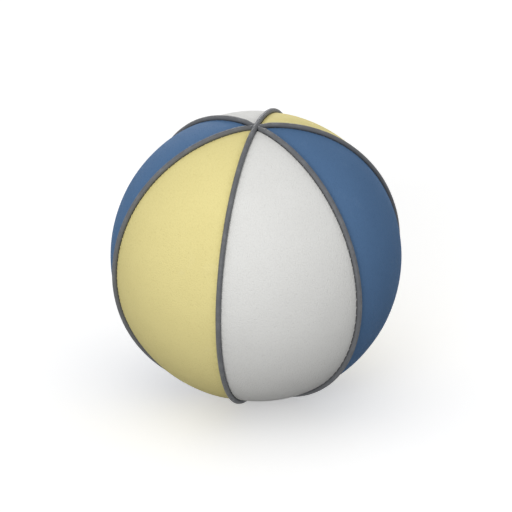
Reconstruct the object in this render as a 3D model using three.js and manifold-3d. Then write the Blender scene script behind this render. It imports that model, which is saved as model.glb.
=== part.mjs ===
// Six-gore sewn volleyball with piped seams.
// Millimetres, +Z up through the two poles, origin at the centre of the ball, -Y to the front.
// Three gores are sewn side by side into each half of the ball. One closing seam then joins the
// halves right round through both poles, so its piping is a whole hoop, and the other four end on it.
import * as THREE from "three";
import { mergeVertices } from "three/addons/utils/BufferGeometryUtils.js";
import Module from "manifold-3d";

const wasm = await Module();
wasm.setup();

// Ball and layers
const BALL_DIAMETER = 210; // over the covers, between two seams
const COVER_THICKNESS = 1.2; // synthetic leather
const FOAM_THICKNESS = 2.4;
const LINING_THICKNESS = 0.6; // woven cloth
const BLADDER_WALL = 0.8; // butyl rubber
const FIT_GAP = 0.3; // clearance between pieces that touch

// Sewn seams
const EDGE_ROLL = 2.2; // outer radius to which a cover turns in at its seam
const HEM_LENGTH = 2.6; // straight edge below the roll, which the stitches hold
const PIPING_DIAMETER = 3.8;
const FLANGE_THICKNESS = 0.8; // sewing flange under the piping's bead
const CROWN_LAND = 0.2; // width left between the two rolls at a gore's tip
const TIP_CLEARANCE = 0.1; // room inside a layer where its tip is trimmed
const TIP_SINK = 0.7; // how far the layers are drawn in towards a pole

// Needle valve, on the +Y axis
const VALVE_HEAD_DIAMETER = 8.4;
const VALVE_HEAD_HEIGHT = 1.4;
const VALVE_HEAD_CHAMFER = 0.4;
const VALVE_RECESS = 0.9; // top of the head below the ball's surface
const VALVE_STEM_DIAMETER = 5.2;
const VALVE_TIP_DIAMETER = 3;
const VALVE_TAPER_LENGTH = 2.5; // cone at the end of the stem
const VALVE_NECK_WALL = 1.6; // rubber round the stem
const VALVE_FLANGE_DIAMETER = 20;
const VALVE_FLANGE_THICKNESS = 1.4;
const VALVE_BOSS_LENGTH = 11; // inward from the flange
const NEEDLE_HOLE_DIAMETER = 2;
const NEEDLE_HOLE_DEPTH = 9;

// Facets
const SEAM_STEPS = 16; // along a seam from pole to pole
const ROLL_STEPS = 2; // round the rolled edge of a cover
const CROWN_STEPS = 4; // across a gore
const BEAD_STEPS = 9; // round the bead of a piping
const BLADDER_STEPS = 10;
const BLADDER_SEGMENTS = 24;
const VALVE_SEGMENTS = 16;

// Finishes
const WHITE_SKIN = { color: 0xdedfdd, roughness: 0.62, metalness: 0 };
const BLUE_SKIN = { color: 0x4f74a3, roughness: 0.62, metalness: 0 };
const YELLOW_SKIN = { color: 0xe3d894, roughness: 0.62, metalness: 0 };
const GREY_PIPING = { color: 0x6b6c72, roughness: 0.5, metalness: 0 };
const CREAM_FOAM = { color: 0xe8e2d2, roughness: 0.95, metalness: 0 };
const WOVEN_LINING = { color: 0xc9c6bd, roughness: 0.9, metalness: 0 };
const BLACK_BUTYL = { color: 0x26262a, roughness: 0.7, metalness: 0 };
const VALVE_RUBBER = { color: 0x4a4b50, roughness: 0.6, metalness: 0 };

// Gores in turn from the front, anticlockwise seen from above
const GORES = [
  { name: "white_front", skin: WHITE_SKIN },
  { name: "blue_right", skin: BLUE_SKIN },
  { name: "yellow_back", skin: YELLOW_SKIN },
  { name: "white_back", skin: WHITE_SKIN, holdsValve: true },
  { name: "blue_left", skin: BLUE_SKIN },
  { name: "yellow_front", skin: YELLOW_SKIN },
];
const GORE_ANGLE = (2 * Math.PI) / GORES.length;
const HALF_GORE = GORE_ANGLE / 2;
const goreAzimuth = (index) => index * GORE_ANGLE - Math.PI / 2;

// A seam has the number of the gore after it. The closing seam is 0 in front and 3 behind, and each
// other seam has it on one side, anticlockwise (1) or clockwise (-1).
const seamAzimuth = (index) => goreAzimuth(index) - HALF_GORE;
const CLOSING_SEAM = 0;
const SIDE_SEAMS = [
  { name: "front_right", index: 1, hoopSide: -1 },
  { name: "right", index: 2, hoopSide: 1 },
  { name: "back_left", index: 4, hoopSide: -1 },
  { name: "left", index: 5, hoopSide: 1 },
];

// Sizes that follow. Depths are below the ball's surface, offsets from the plane of a seam.
const ballRadius = BALL_DIAMETER / 2;
const foamTop = COVER_THICKNESS + FIT_GAP;
const foamFloor = foamTop + FOAM_THICKNESS;
const liningTop = foamFloor + FIT_GAP;
const liningFloor = liningTop + LINING_THICKNESS;
const seamDepth = Math.max(liningFloor, EDGE_ROLL + HEM_LENGTH);
const hemOffset = FLANGE_THICKNESS / 2 + FIT_GAP;
const padOffset = hemOffset + COVER_THICKNESS + FIT_GAP;
const rollOffset = hemOffset + EDGE_ROLL;
const seamStep = Math.PI / SEAM_STEPS;

// Solids
function solidOf(geometry) {
  const bare = geometry.clone();
  bare.deleteAttribute("normal");
  bare.deleteAttribute("uv");
  const merged = mergeVertices(bare);
  const vertProperties = new Float32Array(merged.attributes.position.array);
  const triVerts = new Uint32Array(merged.index.array);
  return new wasm.Manifold(new wasm.Mesh({ numProp: 3, vertProperties, triVerts }));
}

function geometryOf(solid) {
  const { vertProperties, triVerts } = solid.getMesh();
  const geometry = new THREE.BufferGeometry();
  geometry.setAttribute("position", new THREE.BufferAttribute(vertProperties, 3));
  geometry.setIndex(new THREE.BufferAttribute(triVerts, 1));
  geometry.computeVertexNormals();
  return geometry;
}

function piece(name, geometry, finish) {
  const mesh = new THREE.Mesh(geometry, new THREE.MeshStandardMaterial(finish));
  mesh.name = name;
  return mesh;
}

function revolve(profile, segments) {
  const points = profile.map(([radius, height]) => new THREE.Vector2(radius, height));
  return new THREE.LatheGeometry(points, segments);
}

// A closed loft through loops of points. The second half of each loop runs back under the first,
// so each end is closed by a strip between the two halves.
function loft(loops) {
  const count = loops[0].length;
  const last = loops.length - 1;
  const corner = (row, column) => row * count + (column % count);
  const quads = [];
  for (let row = 0; row < last; row++) {
    for (let column = 0; column < count; column++) {
      const next = column + 1;
      quads.push([corner(row, column), corner(row + 1, column), corner(row + 1, next), corner(row, next)]);
    }
  }
  for (let over = 0; over + 1 < count / 2; over++) {
    const under = count - 1 - over;
    quads.push([corner(0, over), corner(0, over + 1), corner(0, under - 1), corner(0, under)]);
    quads.push([corner(last, over + 1), corner(last, over), corner(last, under), corner(last, under - 1)]);
  }
  const geometry = new THREE.BufferGeometry().setFromPoints(loops.flat());
  geometry.setIndex(quads.flatMap(([a, b, c, d]) => [a, b, c, a, c, d]));
  geometry.computeVertexNormals();
  return geometry;
}

// Gores. A place on a gore's edge is [offset from the seam plane, depth]. Its section at a polar angle
// has two such edges and a crown between them, and the gore's middle lies on +X.
const seamReach = (ballRadius - seamDepth) * Math.sin(HALF_GORE);
const reachAt = (polar) => seamReach * Math.sin(polar) - CROWN_LAND / 2;
const polarAt = (reach) => Math.asin((reach + CROWN_LAND / 2) / seamReach);
const coverTip = polarAt(hemOffset + COVER_THICKNESS + TIP_CLEARANCE);
const padTip = polarAt(padOffset + TIP_CLEARANCE);

// Polar angles of a layer's sections from tip to tip. A layer also has one where another layer ends.
function stations(tip) {
  const steps = Array.from({ length: SEAM_STEPS - 1 }, (_, step) => (step + 1) * seamStep);
  const inner = [coverTip, padTip].filter((polar) => polar > tip);
  const middle = steps.filter((polar) => Math.sin(polar) > Math.sin(padTip));
  const upper = [tip, ...inner];
  return [...upper, ...middle, ...upper.map((polar) => Math.PI - polar).reverse()];
}

// The turned-in edge of the surface that lies an inset below the cover's own, up to the crown. It has
// the same centre as the cover's edge, unless that would turn it tighter than a fit gap.
function rolledEdge(inset, polar) {
  const radius = Math.max(EDGE_ROLL - inset, FIT_GAP);
  const centreDepth = inset + radius;
  const centreOffset = hemOffset + centreDepth;
  const turn = Math.acos(Math.max(0, (centreOffset - reachAt(polar)) / radius));
  return Array.from({ length: ROLL_STEPS + 1 }, (_, step) => {
    const angle = (turn * step) / ROLL_STEPS;
    return [centreOffset - radius * Math.cos(angle), centreDepth - radius * Math.sin(angle)];
  });
}

function radiusAt(depth, polar) {
  const sink = TIP_SINK * Math.max(0, 1 - Math.sin(polar) / Math.sin(seamStep));
  return ballRadius - depth - sink;
}

function azimuthOf([offset, depth], polar) {
  return HALF_GORE - Math.asin(offset / (radiusAt(depth, polar) * Math.sin(polar)));
}

function pointAt(azimuth, depth, polar) {
  const radius = radiusAt(depth, polar);
  const flat = radius * Math.sin(polar);
  return new THREE.Vector3(flat * Math.cos(azimuth), flat * Math.sin(azimuth), radius * Math.cos(polar));
}

// All layers share the crown's azimuths, so their facets lie one inside the other.
function acrossGore(edge, polar) {
  const crownHalf = azimuthOf(rolledEdge(0, polar).at(-1), polar);
  const crownDepth = edge.at(-1)[1];
  const right = edge.map((place) => pointAt(-azimuthOf(place, polar), place[1], polar));
  const left = edge.map((place) => pointAt(azimuthOf(place, polar), place[1], polar));
  const crown = Array.from({ length: CROWN_STEPS - 1 }, (_, step) => {
    const share = (step + 1) / CROWN_STEPS;
    return pointAt(crownHalf * (2 * share - 1), crownDepth, polar);
  });
  return [...right, ...crown, ...left.reverse()];
}

function goreLayer(tip, outerEdge, innerEdge) {
  const loops = stations(tip).map((polar) => {
    const outer = acrossGore(outerEdge(polar), polar);
    const inner = acrossGore(innerEdge(polar), polar);
    return [...outer, ...inner.reverse()];
  });
  return loft(loops);
}

function coverGeometry() {
  const outerEdge = (polar) => [[hemOffset, seamDepth], ...rolledEdge(0, polar)];
  const hemInside = [hemOffset + COVER_THICKNESS, seamDepth];
  const innerEdge = (polar) => [hemInside, ...rolledEdge(COVER_THICKNESS, polar)];
  return goreLayer(coverTip, outerEdge, innerEdge);
}

function foamGeometry() {
  const outerEdge = (polar) => rolledEdge(foamTop, polar);
  const innerEdge = (polar) => outerEdge(polar).map(([offset]) => [offset, foamFloor]);
  return goreLayer(padTip, outerEdge, innerEdge);
}

function liningGeometry() {
  const edgeAt = (depth) => () => [[padOffset, depth]];
  return goreLayer(padTip, edgeAt(liningTop), edgeAt(liningFloor));
}

function valveHole(diameter) {
  const hole = new THREE.CylinderGeometry(diameter / 2, diameter / 2, ballRadius, VALVE_SEGMENTS);
  return solidOf(hole.rotateZ(Math.PI / 2).translate(ballRadius, 0, 0));
}

function pierced(geometry, diameter) {
  return geometryOf(solidOf(geometry).subtract(valveHole(diameter)));
}

// Piping. The bead lies in the groove between two rolled edges, a fit gap from each, and its flange
// goes down between the hems. The ring's own seam plane is XZ, with its pole on +Z.
const beadRadius = PIPING_DIAMETER / 2;
const rollToBead = EDGE_ROLL + FIT_GAP + beadRadius;
const beadCentre = ballRadius - EDGE_ROLL + Math.sqrt(rollToBead ** 2 - rollOffset ** 2);

function pipingRing() {
  const flangeHalf = FLANGE_THICKNESS / 2;
  const shoulder = Math.PI - Math.asin(flangeHalf / beadRadius);
  const bead = Array.from({ length: BEAD_STEPS + 1 }, (_, step) => {
    const angle = shoulder * ((2 * step) / BEAD_STEPS - 1);
    return [beadCentre + beadRadius * Math.cos(angle), beadRadius * Math.sin(angle)];
  });
  const foot = [ballRadius - seamDepth, -flangeHalf];
  const farFoot = [ballRadius - seamDepth, flangeHalf];
  return revolve([foot, ...bead, farFoot, foot], 2 * SEAM_STEPS);
}

// Each end of a side piping is cut flat beside the hoop's bead and mitred against the next piping.
// With six gores those two planes are square to each other, so one box keeps what is wanted.
function sidePiping(hoopSide) {
  const size = 2 * BALL_DIAMETER;
  const besideHoop = beadRadius + FIT_GAP;
  const besideMitre = FIT_GAP / 2;
  const keep = new THREE.BoxGeometry(size, size, size);
  keep.translate(besideHoop + size / 2, hoopSide * (besideMitre + size / 2), 0);
  keep.rotateZ(-hoopSide * HALF_GORE);
  return geometryOf(solidOf(pipingRing()).intersect(solidOf(keep)));
}

// Bladder and valve, revolved about +Y. The bladder fills the room inside the flat facets of the lining.
const facetSag = Math.cos(seamStep / 2) * Math.cos(GORE_ANGLE / CROWN_STEPS / 2);
const bladderRadius = (ballRadius - seamDepth) * facetSag - FIT_GAP;
const stemRadius = VALVE_STEM_DIAMETER / 2;
const headRadius = VALVE_HEAD_DIAMETER / 2;
const boreRadius = stemRadius + FIT_GAP;
const neckRadius = boreRadius + VALVE_NECK_WALL;
const neckHoleRadius = neckRadius + FIT_GAP;
const padHoleRadius = Math.max(neckRadius, headRadius) + FIT_GAP;
const headHoleRadius = headRadius + FIT_GAP;
const flangeRadius = VALVE_FLANGE_DIAMETER / 2;
const seatRadius = flangeRadius + FIT_GAP;
const headTop = ballRadius - VALVE_RECESS;
const headFloor = headTop - VALVE_HEAD_HEIGHT;
const neckTop = headFloor - FIT_GAP;
const heightOn = (sphere, radius) => Math.sqrt(sphere ** 2 - radius ** 2);

// The housing's flange lies under the flat-sided ring of the bladder that runs round its hole.
const bladderInside = bladderRadius - BLADDER_WALL;
const seatRise = heightOn(bladderInside, neckHoleRadius) - heightOn(bladderInside, seatRadius);
const seatSlope = seatRise / (seatRadius - neckHoleRadius);
const seatAt = (radius) => heightOn(bladderInside, seatRadius) + seatSlope * (seatRadius - radius);
const flangeTopAt = (radius) => seatAt(radius) - FIT_GAP;
const bossEnd = flangeTopAt(neckRadius) - VALVE_FLANGE_THICKNESS - VALVE_BOSS_LENGTH;

function bladderGeometry() {
  const wall = (sphere) => {
    const seatAngle = Math.asin(seatRadius / sphere);
    const arc = Array.from({ length: BLADDER_STEPS + 1 }, (_, step) => {
      const angle = Math.PI - ((Math.PI - seatAngle) * step) / BLADDER_STEPS;
      return [step === 0 ? 0 : sphere * Math.sin(angle), sphere * Math.cos(angle)];
    });
    return [...arc, [neckHoleRadius, heightOn(sphere, neckHoleRadius)]];
  };
  return revolve([...wall(bladderRadius), ...wall(bladderInside).reverse()], BLADDER_SEGMENTS);
}

function housingGeometry() {
  const foot = [boreRadius, bossEnd];
  const profile = [
    foot,
    [neckRadius, bossEnd],
    [neckRadius, flangeTopAt(neckRadius) - VALVE_FLANGE_THICKNESS],
    [flangeRadius, flangeTopAt(flangeRadius) - VALVE_FLANGE_THICKNESS],
    [flangeRadius, flangeTopAt(flangeRadius)],
    [neckRadius, flangeTopAt(neckRadius)],
    [neckRadius, neckTop],
    [boreRadius, neckTop],
    foot,
  ];
  return revolve(profile, VALVE_SEGMENTS);
}

function coreGeometry() {
  const needleRadius = NEEDLE_HOLE_DIAMETER / 2;
  const needleEnd = headTop - NEEDLE_HOLE_DEPTH;
  const profile = [
    [0, bossEnd],
    [VALVE_TIP_DIAMETER / 2, bossEnd],
    [stemRadius, bossEnd + VALVE_TAPER_LENGTH],
    [stemRadius, headFloor],
    [headRadius, headFloor],
    [headRadius, headTop - VALVE_HEAD_CHAMFER],
    [headRadius - VALVE_HEAD_CHAMFER, headTop],
    [needleRadius, headTop],
    [needleRadius, needleEnd],
    [0, needleEnd],
  ];
  return revolve(profile, VALVE_SEGMENTS);
}

// Assembly
const ball = new THREE.Group();

GORES.forEach(({ name, skin, holdsValve }, index) => {
  const gore = new THREE.Group();
  gore.rotation.z = goreAzimuth(index);
  const hole = (geometry, radius) => (holdsValve ? pierced(geometry, 2 * radius) : geometry);
  gore.add(piece(`cover_${name}`, hole(coverGeometry(), headHoleRadius), skin));
  gore.add(piece(`foam_${name}`, hole(foamGeometry(), padHoleRadius), CREAM_FOAM));
  gore.add(piece(`lining_${name}`, hole(liningGeometry(), padHoleRadius), WOVEN_LINING));
  ball.add(gore);
});

const hoop = piece("piping_closing_hoop", pipingRing(), GREY_PIPING);
hoop.rotation.z = seamAzimuth(CLOSING_SEAM);
ball.add(hoop);

for (const { name, index, hoopSide } of SIDE_SEAMS) {
  const piping = piece(`piping_${name}`, sidePiping(hoopSide), GREY_PIPING);
  piping.rotation.z = seamAzimuth(index);
  ball.add(piping);
}

ball.add(piece("bladder", bladderGeometry(), BLACK_BUTYL));
ball.add(piece("valve_housing", housingGeometry(), VALVE_RUBBER));
ball.add(piece("valve_core", coreGeometry(), VALVE_RUBBER));

export default ball;
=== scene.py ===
"""Looks of a sewn volleyball with six gores and piped seams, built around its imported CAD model.

Metres, +Z up through the two poles, origin at the centre of the ball, -Y to the front.
A polar angle runs from the upper pole, and an azimuth anticlockwise from +X.
"""

from __future__ import annotations

import logging
import math
import random
from collections.abc import Iterable
from dataclasses import dataclass, field
from enum import Enum

import bmesh
import bpy
from mathutils import Matrix, Vector, noise

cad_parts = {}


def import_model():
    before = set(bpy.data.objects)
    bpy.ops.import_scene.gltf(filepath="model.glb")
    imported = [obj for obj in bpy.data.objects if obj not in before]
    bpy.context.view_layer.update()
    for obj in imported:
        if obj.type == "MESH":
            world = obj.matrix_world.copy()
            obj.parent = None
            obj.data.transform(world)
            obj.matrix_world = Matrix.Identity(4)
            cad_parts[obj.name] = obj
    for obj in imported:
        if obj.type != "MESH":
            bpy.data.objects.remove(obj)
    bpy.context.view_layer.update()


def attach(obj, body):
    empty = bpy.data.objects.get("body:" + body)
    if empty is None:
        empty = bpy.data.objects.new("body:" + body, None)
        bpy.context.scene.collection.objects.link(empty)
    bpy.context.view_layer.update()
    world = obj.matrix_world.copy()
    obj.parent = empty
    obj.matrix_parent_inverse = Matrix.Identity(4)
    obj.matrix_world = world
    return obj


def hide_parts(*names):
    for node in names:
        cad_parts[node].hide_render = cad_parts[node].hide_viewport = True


LOG = logging.getLogger("volleyball")
MM = 0.001
BALL_BODY = "ball"
VALVE_BODY = "valve_core"
SEAM_ATTRIBUTE = "seam_near"
GORE_COUNT = 6
FULL_TURN = 2 * math.pi
GORE_ANGLE = FULL_TURN / GORE_COUNT
HALF_GORE = GORE_ANGLE / 2
ORIGIN = (0.0, 0.0, 0.0)
Y_AXIS = (0.0, 1.0, 0.0)
Z_AXIS = (0.0, 0.0, 1.0)
MERGE_REACH = 0.001 * MM
NOISE_MIDDLE = 0.5

Triple = tuple[float, float, float]
Colour = Triple
Span = tuple[float, float]
Profile = list[tuple[float, float]]


def smooth_step(value: float, low: float, high: float) -> float:
    """Eases from 0 at one value to 1 at another.

    Args:
        value: the value to ease.
        low: the value that gives 0.
        high: the value that gives 1.

    Returns:
        The eased value.
    """
    share = min(1.0, max(0.0, (value - low) / (high - low)))
    return share * share * (3 - 2 * share)


class Value:
    """A number, colour or vector inside a shader. Maths on it adds Math nodes."""

    def __init__(self, shader: Shader, socket: bpy.types.NodeSocket) -> None:
        """Wraps the output of a node."""
        self.shader = shader
        self.socket = socket

    def maths(self, operation: str, *operands: Value | float) -> Value:
        """Adds one Math node.

        Args:
            operation: the node's operation.
            operands: its inputs, in order.

        Returns:
            The node's result.
        """
        sockets = dict(enumerate(operands))
        return self.shader.node("ShaderNodeMath", {"operation": operation}, sockets, "Value")

    def __add__(self, other: Value | float) -> Value:
        """Sum."""
        return self.maths("ADD", self, other)

    def __radd__(self, other: float) -> Value:
        """Sum with a number on the left."""
        return self.maths("ADD", other, self)

    def __sub__(self, other: Value | float) -> Value:
        """Difference."""
        return self.maths("SUBTRACT", self, other)

    def __rsub__(self, other: float) -> Value:
        """Difference from a number on the left."""
        return self.maths("SUBTRACT", other, self)

    def __mul__(self, other: Value | float) -> Value:
        """Product."""
        return self.maths("MULTIPLY", self, other)

    def __rmul__(self, other: float) -> Value:
        """Product with a number on the left."""
        return self.maths("MULTIPLY", other, self)

    def __abs__(self) -> Value:
        """Size without its sign."""
        return self.maths("ABSOLUTE", self)

    def sine(self) -> Value:
        """Sine of an angle in radians."""
        return self.maths("SINE", self)

    def largest(self, other: Value | float) -> Value:
        """The larger of two values."""
        return self.maths("MAXIMUM", self, other)

    def ramp(self, low: float, high: float) -> Value:
        """Eases from 0 at one value to 1 at another.

        Args:
            low: the value that gives 0.
            high: the value that gives 1.

        Returns:
            The eased value.
        """
        settings = {"interpolation_type": "SMOOTHSTEP"}
        sockets = {"Value": self, "From Min": low, "From Max": high}
        return self.shader.node("ShaderNodeMapRange", settings, sockets, "Result")


@dataclass(frozen=True)
class Grain:
    """Noise of a finish: how often it repeats in a metre, its octaves, and the finer ones' weight."""

    scale: float
    detail: float = 3.0
    roughness: float = 0.5


class CellReach(Enum):
    """What the distance in a pattern of cells is measured to."""

    CREASE = "DISTANCE_TO_EDGE"
    MIDDLE = "F1"


class Shader:
    """A node tree of a material or of the world, while it is wired."""

    def __init__(self, tree: bpy.types.NodeTree) -> None:
        """Starts from an empty tree."""
        self.tree = tree
        self.tree.nodes.clear()

    @staticmethod
    def find(sockets: Iterable[bpy.types.NodeSocket], key: int | str) -> bpy.types.NodeSocket:
        """Finds a socket of a node.

        Args:
            sockets: the node's inputs or outputs.
            key: the socket's place, identifier or name.

        Returns:
            The socket.
        """
        listed = list(sockets)
        if isinstance(key, int):
            return listed[key]
        same = [socket for socket in listed if socket.identifier == key]
        return (same or [socket for socket in listed if socket.name == key])[0]

    def node(
        self,
        kind: str,
        settings: dict[str, object] | None = None,
        sockets: dict[int | str, object] | None = None,
        output: int | str | None = 0,
    ) -> Value | None:
        """Adds any node.

        Args:
            kind: the node's type.
            settings: its properties, which are set first.
            sockets: values or links of its inputs.
            output: the output that is wanted, or None for an end node.

        Returns:
            That output.
        """
        made = self.tree.nodes.new(kind)
        for name, setting in (settings or {}).items():
            setattr(made, name, setting)
        for key, given in (sockets or {}).items():
            socket = self.find(made.inputs, key)
            if isinstance(given, Value):
                self.tree.links.new(given.socket, socket)
            else:
                socket.default_value = given
        return None if output is None else Value(self, self.find(made.outputs, output))

    def object_place(self) -> Value:
        """Object coordinates, in metres."""
        return self.node("ShaderNodeTexCoord", output="Object")

    def surface_place(self) -> Value:
        """The piece's own UV map, in metres along it and across it."""
        return self.node("ShaderNodeTexCoord", output="UV")

    def axis(self, place: Value, name: str) -> Value:
        """One coordinate of a place."""
        return self.node("ShaderNodeSeparateXYZ", None, {"Vector": place}, name)

    def attribute(self, name: str) -> Value:
        """A number that the mesh holds at its points."""
        return self.node("ShaderNodeAttribute", {"attribute_name": name}, None, "Fac")

    def stretched(self, place: Value, scale: Triple) -> Value:
        """Scales a place on each axis."""
        return self.node("ShaderNodeVectorMath", {"operation": "MULTIPLY"}, {0: place, 1: scale}, "Vector")

    def noise(self, place: Value, grain: Grain, output: str = "Fac") -> Value:
        """Adds noise from about 0 to 1.

        Args:
            place: coordinates in metres.
            grain: the noise's make-up.
            output: Fac for a number, Color for three numbers.

        Returns:
            The noise.
        """
        sockets = {"Vector": place, "Scale": grain.scale, "Detail": grain.detail}
        sockets["Roughness"] = grain.roughness
        return self.node("ShaderNodeTexNoise", None, sockets, output)

    def cells(self, place: Value, scale: float, reach: CellReach) -> Value:
        """Adds cells like those of foam and grained leather.

        Args:
            place: coordinates in metres.
            scale: how many cells there are in a metre.
            reach: what the distance is measured to.

        Returns:
            The distance, as a share of a cell.
        """
        sockets = {"Vector": place, "Scale": scale}
        return self.node("ShaderNodeTexVoronoi", {"feature": reach.value}, sockets, "Distance")

    def domes(self, place: Value, scale: float) -> Value:
        """Adds round pebbles, 1 at the top of each and lower at the creases between them.

        Args:
            place: coordinates in metres.
            scale: how many pebbles there are in a metre.

        Returns:
            The height.
        """
        middle = self.cells(place, scale, CellReach.MIDDLE)
        return 1 - middle * middle

    def wandering(self, place: Value, scale: float, amount: float) -> Value:
        """Shifts a place by noise, so that a pattern on it is uneven.

        Args:
            place: coordinates in metres.
            scale: how often the noise repeats in a metre.
            amount: the largest shift in metres.

        Returns:
            The shifted place.
        """
        drift = self.noise(place, Grain(scale, detail=2.0), "Color")
        sockets = {0: drift, 1: (amount, amount, amount), 2: place}
        return self.node("ShaderNodeVectorMath", {"operation": "MULTIPLY_ADD"}, sockets, "Vector")

    def blend(self, share: Value, first: Colour | Value, second: Colour | Value) -> Value:
        """Mixes two colours.

        Args:
            share: 0 for the first colour, 1 for the second.
            first: a colour.
            second: a colour.

        Returns:
            The mixed colour.
        """
        start, end = (each if isinstance(each, Value) else (*each, 1.0) for each in (first, second))
        sockets = {"Factor_Float": share, "A_Color": start, "B_Color": end}
        settings = {"data_type": "RGBA", "clamp_factor": True}
        return self.node("ShaderNodeMix", settings, sockets, "Result_Color")

    def bump(self, height: Value, depth: float) -> Value:
        """Bends the normal by a height.

        Args:
            height: the height as a share of the depth.
            depth: the depth in metres.

        Returns:
            The normal.
        """
        whole = 1.0
        sockets = {"Height": height, "Distance": depth, "Strength": whole}
        return self.node("ShaderNodeBump", None, sockets, "Normal")


class Finish:
    """A finish that pieces are dressed in. Its material is made once and shared."""

    name: str

    def surface(self, shader: Shader) -> dict[str, object]:
        """Wires the finish.

        Args:
            shader: the material's empty tree.

        Returns:
            Values or links for the Principled shader's inputs.
        """
        raise NotImplementedError

    def material(self) -> bpy.types.Material:
        """Makes the material, or finds the one that was made before.

        Returns:
            The material.
        """
        made = bpy.data.materials.get(self.name)
        if made is None:
            made = bpy.data.materials.new(self.name)
            made.use_nodes = True
            shader = Shader(made.node_tree)
            body = shader.node("ShaderNodeBsdfPrincipled", None, self.surface(shader), "BSDF")
            shader.node("ShaderNodeOutputMaterial", None, {"Surface": body}, None)
        return made


@dataclass(frozen=True)
class LeatherFinish(Finish):
    """Matt synthetic leather: pebbled grain with painted shade in its creases, faint mottling, dry scuffs,
    and painted shade with patchy soiling beside the seams.
    """

    name: str
    colour: Colour
    # Darker colour that the painted shade in the grain's creases and beside the seams, the mottling and
    # the soiling blend towards.
    crease: Colour
    scuffed: Colour
    pebbles: float = 950.0
    pebble_drift: float = 0.5 * MM
    grain_depth: float = 0.17 * MM
    pores: Grain = Grain(5200.0, 2.0)
    pore_height: float = 0.06
    mottling: Grain = Grain(24.0, 5.0, 0.6)
    scuffing: Grain = Grain(62.0, 8.0, 0.65)
    scuff_span: Span = (0.58, 0.8)
    handling: Grain = Grain(210.0, 4.0)
    handled_span: Span = (0.3, 0.75)
    crease_shade_tint: float = 0.15
    mottle_tint: float = 0.25
    seam_shade_tint: float = 0.05
    handled_tint: float = 0.2
    scuff_tint: float = 0.3
    roughness: float = 0.56
    mottle_dulls: float = 0.1
    scuff_dulls: float = 0.08
    fold_dulls: float = 0.06
    gloss: float = 0.02

    def surface(self, shader: Shader) -> dict[str, object]:
        """Wires the leather.

        Args:
            shader: the material's empty tree.

        Returns:
            Values or links for the Principled shader's inputs.
        """
        place = shader.object_place()
        uneven = shader.wandering(place, self.pebbles / 2, self.pebble_drift)
        pebble = shader.domes(uneven, self.pebbles)
        fold = 1 - pebble
        pore = shader.noise(place, self.pores)
        mottle = shader.noise(place, self.mottling)
        scuff = shader.noise(place, self.scuffing).ramp(*self.scuff_span)
        handled = shader.noise(place, self.handling).ramp(*self.handled_span)
        # Darker beside the seams: an even painted shade where the panels dip under the piping, with patchy
        # soiling from handling on top.
        seam_shade_and_soil = shader.attribute(SEAM_ATTRIBUTE) * (self.seam_shade_tint + self.handled_tint * handled)
        # Painted shade: the colour darkens in the creases between the pebbles, where shade falls; the
        # mottling is the leather's own uneven tone.
        shade = self.crease_shade_tint * fold + self.mottle_tint * (mottle - NOISE_MIDDLE) + seam_shade_and_soil
        tinted = shader.blend(shade, self.colour, self.crease)
        dulled = self.mottle_dulls * mottle + self.scuff_dulls * scuff + self.fold_dulls * fold
        return {
            "Base Color": shader.blend(self.scuff_tint * scuff, tinted, self.scuffed),
            "Roughness": self.roughness + dulled,
            "Normal": shader.bump(pebble + self.pore_height * pore, self.grain_depth),
            "Specular IOR Level": self.gloss,
        }


@dataclass(frozen=True)
class PipingFinish(Finish):
    """Coated piping: satin, fine wrinkles across it, polished pale along its crest, and a painted
    highlight on the tops of its pebbles.
    """

    name: str = "piping_coating"
    colour: Colour = (0.125, 0.13, 0.14)
    # Pale colour of the worn crest, also used for the painted highlight on the pebbles' tops.
    worn_and_highlit: Colour = (0.21, 0.215, 0.225)
    crest_width: float = 3.0 * MM
    crest_flat: float = 0.9 * MM
    wrinkles: Grain = Grain(900.0, 3.0, 0.55)
    wrinkle_stretch: Triple = (1.0, 0.22, 1.0)
    wrinkle_height: float = 0.5
    pebbles: float = 1700.0
    pebble_drift: float = 0.3 * MM
    drift_scale: float = 900.0
    relief: float = 0.12 * MM
    patches: Grain = Grain(110.0, 5.0, 0.6)
    worn_span: Span = (0.42, 0.72)
    wear_tint: float = 0.55
    patch_tint: float = 0.2
    pebble_highlight_tint: float = 0.1
    roughness: float = 0.5
    wear_polish: float = 0.1
    wrinkle_dulls: float = 0.12
    gloss: float = 0.3

    def surface(self, shader: Shader) -> dict[str, object]:
        """Wires the coating.

        Args:
            shader: the material's empty tree.

        Returns:
            Values or links for the Principled shader's inputs.
        """
        place = shader.surface_place()
        around = abs(shader.axis(place, "Y"))
        crest = 1 - around.ramp(self.crest_flat, self.crest_width)
        wrinkle = shader.noise(shader.stretched(place, self.wrinkle_stretch), self.wrinkles)
        uneven = shader.wandering(place, self.drift_scale, self.pebble_drift)
        pebble = shader.domes(uneven, self.pebbles)
        patch = shader.noise(place, self.patches)
        wear = crest * patch.ramp(*self.worn_span)
        mottle = self.patch_tint * (patch - NOISE_MIDDLE)
        # Paler where the crest is worn and by the coating's own mottling, and on the pebbles' tops as a
        # painted highlight that follows the bump.
        shade = self.wear_tint * wear + mottle + self.pebble_highlight_tint * pebble
        return {
            "Base Color": shader.blend(shade, self.colour, self.worn_and_highlit),
            "Roughness": self.roughness - self.wear_polish * wear + self.wrinkle_dulls * wrinkle,
            "Normal": shader.bump(self.wrinkle_height * wrinkle + pebble, self.relief),
            "Specular IOR Level": self.gloss,
        }


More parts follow.
